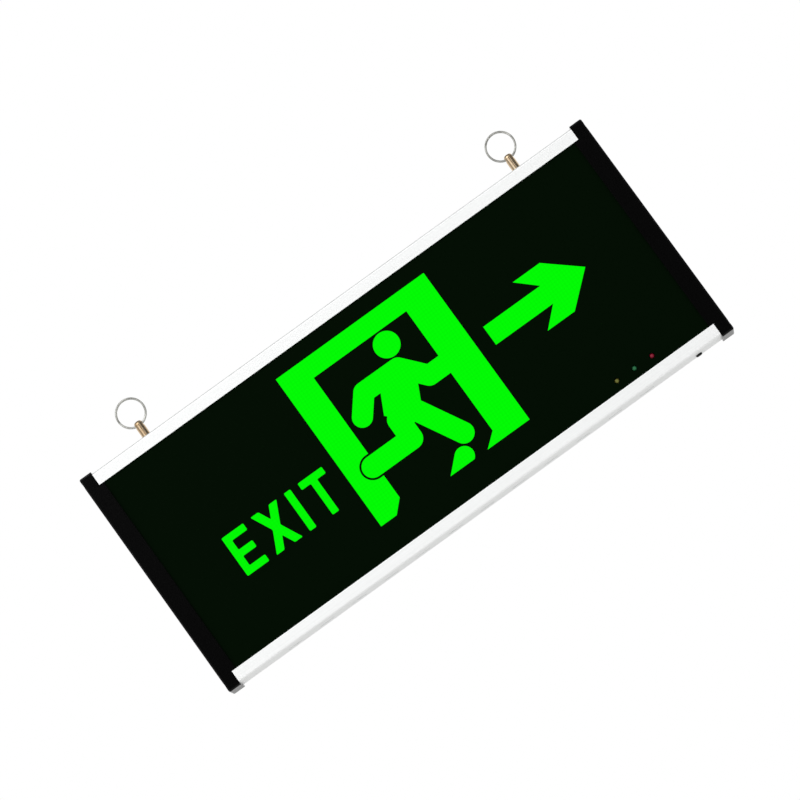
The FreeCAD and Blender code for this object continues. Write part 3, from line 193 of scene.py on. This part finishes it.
# %% [markdown]
# ## The rails: anodised aluminium
#
# Both rails are one extrusion, etched and anodised. The die leaves faint lines along its length,
# and the etch leaves a satin bloom. The oxide scatters part of the light as paint does, which a
# Metallic of 0.7 stands for, so a rail looks nearly white in a white room. A brushed image could
# be wrapped round it. Noise that is two hundred times longer along the rail than across it does
# the same with no image. Real die lines are about 0.1 mm apart, too fine to show, so they are
# drawn 0.7 mm apart.

# %% Anodised aluminium
DIE_LINE = 0.7
satin = grained("anodised_aluminium", "F7F8F8", "FCFDFD", DIE_LINE, 0.004, (0.50, 0.60),
                stretch=(200, 1, 1), Metallic=0.7)
dress(satin, "bottom_rail", "top_rail")

# %% [markdown]
# ## The end caps: moulded ABS
#
# The caps are black ABS, moulded nearly smooth: a faint grain, a real 0.5 mm across, and no colour
# of its own. What shows of a cap is mostly a weak gloss. From the front it mirrors the dark behind
# the camera and stays black, and from the side it picks up a little of the room.

# %% Black ABS, black button and black screws
MOULD_GRAIN = 0.5
abs_black = grained("black_abs", "020202", "050505", MOULD_GRAIN, 0.004, (0.16, 0.22),
                    IOR=1.54, Specular_IOR_Level=0.12)
dress(abs_black, "left_end_cap", "right_end_cap")

# %% [markdown]
# The button is the same plastic out of another mould, a touch rougher and more reflective than the
# caps. The cap screws are steel with a black oxide coat, which is a thin crystal layer: dark,
# slightly blue and half glossy.

# %% Button and cap screws
polished = grained("polished_black_abs", "030303", "060606", 0.8, 0.003, (0.22, 0.30), IOR=1.54,
                   Specular_IOR_Level=0.2)
dress(polished, "test_button")
oxide = grained("black_oxide_steel", "1B1C1F", "2A2B2E", 0.4, 0.006, (0.35, 0.5), Metallic=1.0)
dress(oxide, "end_cap_screws")

# %% [markdown]
# ## The printed mask: screen-printed ink
#
# The black field is ink on the panel's face; the lit panel's leak of green is painted glow in it.
# Screen ink keeps the print of the mesh, about 0.3 mm between threads, as a very faint relief. It
# is drawn here with a wave along and a wave across, multiplied together. Matt ink on matt film
# mirrors almost nothing, so the specular level is kept close to zero.

# %% Screen-printed ink
THREAD = 0.6                   # drawn at twice the real spacing, so that it shows at all


def woven(tree, pitch_mm):
    """Threads along X and along Z, each a wave of a real pitch, multiplied together."""
    place = place_on(tree, pitch_mm)
    waves = [add(tree, "ShaderNodeTexWave", {"Scale": 0.314, "Distortion": 0.4}, {"Vector": place},
                 bands_direction=axis).outputs["Fac"] for axis in ("X", "Z")]
    return add(tree, "ShaderNodeMath", links={0: waves[0], 1: waves[1]},
               operation="MULTIPLY").outputs[0]


def ink_and_painted_glow():
    material, tree, shader = start_material(
        "screen_printed_ink_and_painted_glow", {"IOR": 1.5, "Specular IOR Level": 0.015, "Roughness": 0.55})
    threads = woven(tree, THREAD)
    # The green in the ink's colour is a painted glow, standing for the lit panel's light leaking
    # through.
    tree.links.new(shade(tree, threads, "010B01", "020F02"), shader.inputs["Base Color"])
    raise_by(tree, shader, threads, 0.002)
    return material


dress(ink_and_painted_glow(), "legend_mask")

# %% [markdown]
# ## The lit panel: green acrylic over LEDs
#
# The legend is the clear part of the print. Behind it stands a green acrylic sheet, lit by a light
# guide whose back carries rows of dots that throw the light forward. From a step away it is one
# even, saturated green; close up it is a touch brighter over each dot. Emission does the glow, and
# a low base colour keeps the daylight on it from washing it out. The light leaves by the face
# alone, so the emission follows the way that a face points, and the walls of the holes for the
# indicator lamps stay dark.

# %% Lit acrylic
DOT_PITCH = 2.0
GLOW = 0.96
SIDE_ON, FACE_ON = -0.8, -0.9  # the normal's Y where a face stops and starts to give light


def lit_acrylic(name):
    material, tree, shader = start_material(
        name, {"IOR": 1.49, "Specular IOR Level": 0.02, "Roughness": 0.35,
               "Base Color": srgb("001400")})
    dots = add(tree, "ShaderNodeTexVoronoi", {"Scale": 1.0, "Randomness": 0.0},
               {"Vector": place_on(tree, DOT_PITCH)}).outputs["Distance"]
    tree.links.new(shade(tree, dots, "00FF02", "00F902"), shader.inputs["Emission Color"])
    normal = add(tree, "ShaderNodeTexCoord").outputs["Normal"]
    towards = add(tree, "ShaderNodeSeparateXYZ", links={0: normal}).outputs["Y"]
    spread = {"From Min": SIDE_ON, "From Max": FACE_ON, "To Min": 0.0, "To Max": GLOW}
    leaving = add(tree, "ShaderNodeMapRange", spread, {"Value": towards}).outputs[0]
    tree.links.new(leaving, shader.inputs["Emission Strength"])
    return material


green_glow = lit_acrylic("lit_green_acrylic")
dress(green_glow, "front_panel")

# %% [markdown]
# ## The hanging posts: turned brass
#
# The posts are turned from brass bar and left bare, so they keep the fine rings of the tool and
# have browned a little where hands don't rub them. The rings are a real 0.35 mm apart, which is the
# feed of the lathe. A wave along Z draws them, and a broad noise browns the metal in patches.

# %% Turned brass
LATHE_FEED = 0.35
PATCH = 2.2


def turned_brass():
    material, tree, shader = start_material("turned_brass", {"Metallic": 1.0})
    rings = add(tree, "ShaderNodeTexWave", {"Scale": 0.314, "Distortion": 0.3},
                {"Vector": place_on(tree, LATHE_FEED)}, bands_direction="Z").outputs["Fac"]
    patches = add(tree, "ShaderNodeTexNoise", {"Scale": 1.0, "Detail": 3.0},
                  {"Vector": place_on(tree, PATCH, (1, 1, 3))}).outputs["Fac"]
    tree.links.new(shade(tree, patches, "C4A57E", "EAD9BE"), shader.inputs["Base Color"])
    tree.links.new(grade(tree, patches, 0.30, 0.18), shader.inputs["Roughness"])
    raise_by(tree, shader, rings, 0.0008)
    return material


dress(turned_brass(), "left_hanging_post", "right_hanging_post")

# %% [markdown]
# ## The split rings: nickel-plated spring steel
#
# A split ring is two turns of flattened wire, nickel over steel. The plating is smooth, but use
# has dulled it in patches about 4 mm across. One broad noise draws them in colour and in gloss.
# The line between the two turns needs no paint, because it is in the shape.

# %% Nickel-plated spring steel
WEAR_PATCH = 4.0


def nickel():
    material, tree, shader = start_material("nickel_plated_steel", {"Metallic": 1.0})
    draw = add(tree, "ShaderNodeTexNoise", {"Scale": 1.0, "Detail": 3.0},
               {"Vector": place_on(tree, WEAR_PATCH)}).outputs["Fac"]
    tree.links.new(shade(tree, draw, "8E8E89", "CFCFCA"), shader.inputs["Base Color"])
    tree.links.new(grade(tree, draw, 0.36, 0.46), shader.inputs["Roughness"])
    raise_by(tree, shader, draw, 0.004)
    return material


dress(nickel(), "left_split_ring", "right_split_ring")

# %% [markdown]
# ## The back: powder-coated sheet steel, zinc and rubber
#
# The back plate is white powder coat. The powder melts into a skin with a slight orange peel, a
# real 1.5 mm from bump to bump. Screws, washers, nuts and the battery's strap are zinc plated:
# grey, a little blue, and cloudy from the plating bath. The cable's grommet is moulded rubber with
# carbon black, dull and faintly dusty.

# %% Powder coat, zinc plate and rubber
powder = grained("white_powder_coat", "DCDDDB", "E4E5E3", 1.5, 0.02, (0.42, 0.52), IOR=1.5)
dress(powder, "back_plate")
zinc = grained("zinc_plated_steel", "9CA1A6", "C3C7CA", 1.2, 0.004, (0.25, 0.42), Metallic=1.0)
dress(zinc, "earth_screw", "strap_screws", "battery_strap", "driver_screws", "driver_standoffs",
      "post_washers", "post_nuts")
rubber = grained("black_rubber", "141414", "232322", 0.6, 0.02, (0.7, 0.85), IOR=1.52)
dress(rubber, "cable_grommet")

# %% [markdown]
# ## The light stack: films, acrylic and LEDs
#
# Behind the panel stand a diffuser film, the clear light guide and a white reflector film. The
# films are matt PET with a bloom of fine grain. The guide is clear cast acrylic, so its finish is
# transmission, and its grain is only the haze on its sawn edges. The LED strip is white solder
# mask, and each chip is a white frame round a yellow phosphor window.

# %% Films, light guide and LED strip
film = grained("matt_pet_film", "F0F0EE", "F6F6F4", 0.8, 0.004, (0.55, 0.7), IOR=1.58)
dress(film, "diffuser_sheet", "reflector_sheet")
acrylic = grained("clear_cast_acrylic", "F2F7F3", "FAFCFA", 3.0, 0.001, (0.02, 0.06), IOR=1.49,
                  Transmission_Weight=1.0)
dress(acrylic, "light_guide")
white_mask = grained("white_solder_mask", "DADAD4", "E6E6E0", 0.9, 0.006, (0.35, 0.45), IOR=1.5)
dress(white_mask, "led_strip_board")
phosphor = grained("led_phosphor", "E3C95C", "F0DC7E", 0.3, 0.01, (0.5, 0.6), IOR=1.5)
dress(phosphor, "strip_leds")

# %% [markdown]
# ## The circuit boards: green solder mask over copper
#
# Glass-fibre board is coated with green lacquer, and the copper tracks under it show as lighter,
# slightly raised lines that run along and up. A brick pattern with thin joints gives such lines at
# a real 1.6 mm spacing, with no picture of a circuit.

# %% Solder-masked glass-fibre board
TRACK_PITCH = 1.6


def solder_mask():
    material, tree, shader = start_material("solder_masked_board", {"IOR": 1.55, "Roughness": 0.28})
    flat = add(tree, "ShaderNodeTexCoord").outputs["Object"]
    turned = add(tree, "ShaderNodeMapping", {"Rotation": (math.pi / 2, 0, 0)}, {"Vector": flat},
                 vector_type="POINT").outputs[0]
    tracks = add(tree, "ShaderNodeTexBrick",
                 {"Scale": 1 / (TRACK_PITCH * MM), "Mortar Size": 0.12, "Brick Width": 4.5,
                  "Row Height": 1.0, "Mortar Smooth": 0.3},
                 {"Vector": turned}).outputs["Fac"]
    tree.links.new(shade(tree, tracks, "0B4A20", "2C7A3C"), shader.inputs["Base Color"])
    raise_by(tree, shader, tracks, 0.03)
    return material


dress(solder_mask(), "driver_board", "indicator_board")

# %% [markdown]
# ## Parts on the boards
#
# Each has its own common material: sintered ferrite, the capacitor's shrunk PVC sleeve, nylon for
# the terminal block and the pillars, thermoplastic for the switch, and PVC for the leads and for
# the battery's sleeve. They are seen through the vents and the keyholes at most, so one grain each
# is enough, at the size that its making leaves.

# %% Parts on the boards, battery and leads
INSIDE = {
    "sintered_ferrite": ("26272A", "3A3B3E", 0.5, 0.02, (0.5, 0.7), ("transformer",)),
    "blue_pvc_sleeve": ("1B3F8C", "2450A8", 2.5, 0.03, (0.3, 0.4), ("battery_pack",)),
    "dark_pvc_sleeve": ("15171F", "232634", 1.2, 0.01, (0.25, 0.35), ("reservoir_capacitor",)),
    "green_nylon": ("1C6B3A", "257A45", 0.7, 0.01, (0.4, 0.5), ("terminal_block",)),
    "natural_nylon": ("DCDACF", "E9E7DD", 0.8, 0.01, (0.45, 0.6), ("snap_pillars",)),
    "switch_thermoplastic": ("1A1A1A", "262626", 0.5, 0.01, (0.45, 0.55), ("test_switch",)),
    "red_pvc": ("9C1512", "B81F1A", 0.9, 0.01, (0.4, 0.5), ("battery_lead",)),
    "white_pvc": ("D8D6D0", "E6E4DE", 0.9, 0.01, (0.4, 0.5), ("strip_lead", "indicator_lead")),
}
for name, (dark, light, grain_mm, relief_mm, rough, pieces) in INSIDE.items():
    dress(grained(name, dark, light, grain_mm, relief_mm, rough, IOR=1.53), *pieces)

# %% [markdown]
# ## The indicator lamps: tinted epoxy
#
# Three small lamps reach through the panel, most likely for charging, mains and fault. They are
# cast in tinted epoxy with a soft haze. In a lit room they glow weakly. The light comes from the
# die on a lamp's axis, so the emission is strongest there and fades to nothing towards the rim.

# %% Tinted epoxy
TINTS = {"yellow_indicator": ("4A4A1C", "6E6E30"), "green_indicator": ("14482A", "2A7046"),
         "red_indicator": ("5C0A1A", "8E1630")}
DIE_SPREAD = 1.25 * MM         # how far from its axis a lamp still glows
DIE_GLOW = 0.32


def tinted_epoxy(name, node, dark, light):
    """The die glows in the middle of the dome, and the tint darkens the light towards the rim."""
    material = grained(name, dark, light, 0.8, 0.002, (0.2, 0.3), IOR=1.55, Specular_IOR_Level=0.2,
                       Emission_Color=srgb(light))
    tree = material.node_tree
    low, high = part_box(node)
    middle = (low + high) / 2
    place = add(tree, "ShaderNodeTexCoord").outputs["Object"]
    flat = add(tree, "ShaderNodeVectorMath", {1: (1, 0, 1)}, {0: place},
               operation="MULTIPLY").outputs[0]
    off_axis = add(tree, "ShaderNodeVectorMath", {1: (middle.x, 0, middle.z)}, {0: flat},
                   operation="DISTANCE").outputs["Value"]
    fading = {"From Max": DIE_SPREAD, "To Min": DIE_GLOW, "To Max": 0.0}
    glow = add(tree, "ShaderNodeMapRange", fading, {"Value": off_axis}).outputs[0]
    shader = node_of(tree, "BSDF_PRINCIPLED")
    tree.links.new(glow, shader.inputs["Emission Strength"])
    return material


for name, (dark, light) in TINTS.items():
    dress(tinted_epoxy(name.replace("indicator", "epoxy"), name, dark, light), name)

# %% [markdown]
# ## The lit word
#
# The sign carries one plain word, which stands in for the lettering that a maker would print. On a
# real lamp it would be one more clear place in the print. A text object could write it, but its
# letters would come from a font file, so the four letters are drawn here as outlines of straight
# strokes, all from one height and one stroke. Each becomes a thin slab that lies on the print and
# glows like the panel.

# %% Letter outlines
LETTER_HEIGHT = 26.0
STROKE = 4.4
LETTER_GAP = 5.2
FILM = 0.06                    # thickness of a letter, well inside the room under the rails' lips


def letter_e(width, height, s):
    middle = height / 2
    inner = width * 0.92
    return [(0, 0), (width, 0), (width, s), (s, s), (s, middle - s / 2), (inner, middle - s / 2),
            (inner, middle + s / 2), (s, middle + s / 2), (s, height - s), (width, height - s),
            (width, height), (0, height)]


def letter_x(width, height, s):
    """Two slanted bars. Their cut ends are wider than the stroke, because the cut is level."""
    end = s * math.hypot(width, height) / height
    slope = (width - end) / height
    low = (width - 2 * end) / (2 * slope)
    centre = width / 2
    return [(0, 0), (end, 0), (centre, low), (width - end, 0), (width, 0),
            (centre + end / 2, height / 2), (width, height), (width - end, height),
            (centre, height - low), (end, height), (0, height), (centre - end / 2, height / 2)]


def letter_i(width, height, s):
    return [(0, 0), (width, 0), (width, height), (0, height)]


def letter_t(width, height, s):
    left = (width - s) / 2
    return [(left, 0), (left + s, 0), (left + s, height - s), (width, height - s),
            (width, height), (0, height), (0, height - s), (left, height - s)]


WORD = [("e", letter_e, 15.0), ("x", letter_x, 18.0), ("i", letter_i, STROKE),
        ("t", letter_t, 16.6)]
word_width = sum(width for _, _, width in WORD) + LETTER_GAP * (len(WORD) - 1)
print("word:", round(word_width, 1), "mm wide")

# %% Letters as thin slabs
WORD_MIDDLE_X = -93.8
WORD_MIDDLE_Z = 60.5
ROUNDING = 0.35


def letter_slab(name, outline, left, low):
    """Fill an outline, give it thickness towards the viewer and round its corners a little."""
    face_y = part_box("legend_mask")[0].y
    mesh = bpy.data.meshes.new(name)
    shape = bmesh.new()
    points = [shape.verts.new(((left + x) * MM, face_y, (low + z) * MM)) for x, z in outline]
    shape.faces.new(points)
    bmesh.ops.bevel(shape, geom=list(shape.verts), offset=ROUNDING * MM, segments=3,
                    affect="VERTICES")
    front = bmesh.ops.extrude_face_region(shape, geom=list(shape.faces))["geom"]
    moved = [item for item in front if isinstance(item, bmesh.types.BMVert)]
    bmesh.ops.translate(shape, verts=moved, vec=(0, -FILM * MM, 0))
    bmesh.ops.recalc_face_normals(shape, faces=list(shape.faces))
    shape.to_mesh(mesh)
    shape.free()
    mesh.materials.append(green_glow)
    letter = bpy.data.objects.new(name, mesh)
    bpy.context.scene.collection.objects.link(letter)
    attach(letter, "lamp")


pen = WORD_MIDDLE_X - word_width / 2
foot = WORD_MIDDLE_Z - LETTER_HEIGHT / 2
for name, draw, width in WORD:
    letter_slab("word_" + name, draw(width, LETTER_HEIGHT, STROKE), pen, foot)
    pen += width + LETTER_GAP
print("letters:", len(WORD))

# %% [markdown]
# ## The studio
#
# The lamp hangs in a white room, over a pale matt floor that lies below the camera. Through the
# Light Path node the world is plain white for the camera and for glass. As a light it is a little
# weaker, and one large soft lamp, in front and somewhat to the left, makes up the rest, so that a
# colour renders about as it is written. A white room would turn black gloss grey and leave metal
# flat, so whatever mirrors the room also sees dark sides: behind the camera, left, right and
# overhead. Only glossy rays meet them, so they take no light away. The floor is seen from above
# only, which leaves the lamp's underside open to view from below.

# %% World, floor and lamp
FLOOR_DROP = 450 * MM
FLOOR_SIZE = 12.0
FLOOR_GRAIN = 60.0
FILL = 0.84
KEY_POWER = 43.0
KEY_SIZE = 2.6
KEY_PLACE = (-0.9, -2.6, 2.1)
KEY_AIM = Vector((0, 0, 0.08))
SOFT_EDGE = 4                  # degrees over which a dark side fades out, each way

# Where the room is dark to anything that mirrors it: a direction, half an angle, and how dark
DARK_SIDES = [
    (Vector((0.0, -0.99, 0.13)), 14, 0.98),     # behind the camera
    (Vector((0.90, -0.44, 0.05)), 36, 0.90),    # a black flag on the right
    (Vector((-0.95, -0.30, 0.05)), 22, 0.65),   # the far side of the room, on the left
    (Vector((0.0, 0.0, 1.0)), 52, 0.75),        # the ceiling
]


def dark_share(tree):
    """How dark the room is, 0 to 1, in the direction that a ray leaves by."""
    way = add(tree, "ShaderNodeTexCoord").outputs["Generated"]
    darkest = None
    for side, half_angle, depth in DARK_SIDES:
        facing = add(tree, "ShaderNodeVectorMath", {1: side.normalized()}, {0: way},
                     operation="DOT_PRODUCT").outputs["Value"]
        spread = {"From Min": math.cos(math.radians(half_angle + SOFT_EDGE)),
                  "From Max": math.cos(math.radians(half_angle - SOFT_EDGE)), "To Max": depth}
        share = add(tree, "ShaderNodeMapRange", spread, {"Value": facing}).outputs[0]
        if darkest is not None:
            share = add(tree, "ShaderNodeMath", links={0: darkest, 1: share},
                        operation="MAXIMUM").outputs[0]
        darkest = share
    return darkest


def make_world():
    world = bpy.data.worlds.new("studio")
    world.use_nodes = True
    tree = world.node_tree
    tree.nodes.clear()
    rays = add(tree, "ShaderNodeLightPath")
    seen = rays.outputs["Is Camera Ray"]
    for kind in ("Is Glossy Ray", "Is Transmission Ray"):
        seen = add(tree, "ShaderNodeMath", links={0: seen, 1: rays.outputs[kind]},
                   operation="MAXIMUM").outputs[0]
    strength = add(tree, "ShaderNodeMapRange", {"To Min": FILL, "To Max": 1.0},
                   {"Value": seen}).outputs[0]
    mirrored = add(tree, "ShaderNodeMath",
                   links={0: dark_share(tree), 1: rays.outputs["Is Glossy Ray"]},
                   operation="MULTIPLY").outputs[0]
    left = add(tree, "ShaderNodeMath", {0: 1.0}, {1: mirrored}, operation="SUBTRACT").outputs[0]
    strength = add(tree, "ShaderNodeMath", links={0: strength, 1: left},
                   operation="MULTIPLY").outputs[0]
    sky = add(tree, "ShaderNodeBackground", {"Color": srgb("FFFFFF")}, {"Strength": strength})
    add(tree, "ShaderNodeOutputWorld", links={"Surface": sky.outputs[0]})
    bpy.context.scene.world = world


def one_sided_floor():
    """Pale matt floor from above, and clear from below, so that the underside can be seen."""
    material = grained("pale_floor", "DCDCDB", "E0E0DF", FLOOR_GRAIN, 0.01, (0.85, 0.95),
                       Specular_IOR_Level=0.1)
    tree = material.node_tree
    shader = node_of(tree, "BSDF_PRINCIPLED")
    output = node_of(tree, "OUTPUT_MATERIAL")
    below = add(tree, "ShaderNodeNewGeometry").outputs["Backfacing"]
    clear = add(tree, "ShaderNodeBsdfTransparent").outputs[0]
    sides = add(tree, "ShaderNodeMixShader", links={0: below, 1: shader.outputs[0], 2: clear})
    tree.links.new(sides.outputs[0], output.inputs["Surface"])
    return material


def make_floor():
    mesh = bpy.data.meshes.new("floor")
    half = FLOOR_SIZE / 2
    corners = [(-half, -half), (half, -half), (half, half), (-half, half)]
    mesh.from_pydata([(x, y, -FLOOR_DROP) for x, y in corners], [], [(0, 1, 2, 3)])
    mesh.materials.append(one_sided_floor())
    floor = bpy.data.objects.new("floor", mesh)
    bpy.context.scene.collection.objects.link(floor)


def make_key():
    """A soft square lamp, above and to the left of the camera."""
    light = bpy.data.lights.new("key", "AREA")
    light.size = KEY_SIZE
    light.energy = KEY_POWER
    key = bpy.data.objects.new("key", light)
    key.location = KEY_PLACE
    aim = KEY_AIM - key.location
    key.rotation_mode = "QUATERNION"
    key.rotation_quaternion = aim.to_track_quat("-Z", "Y")
    bpy.context.scene.collection.objects.link(key)


make_world()
make_floor()
make_key()
bpy.context.scene.view_settings.view_transform = "Standard"
print("not dressed:", sorted(set(nodes) - dressed))
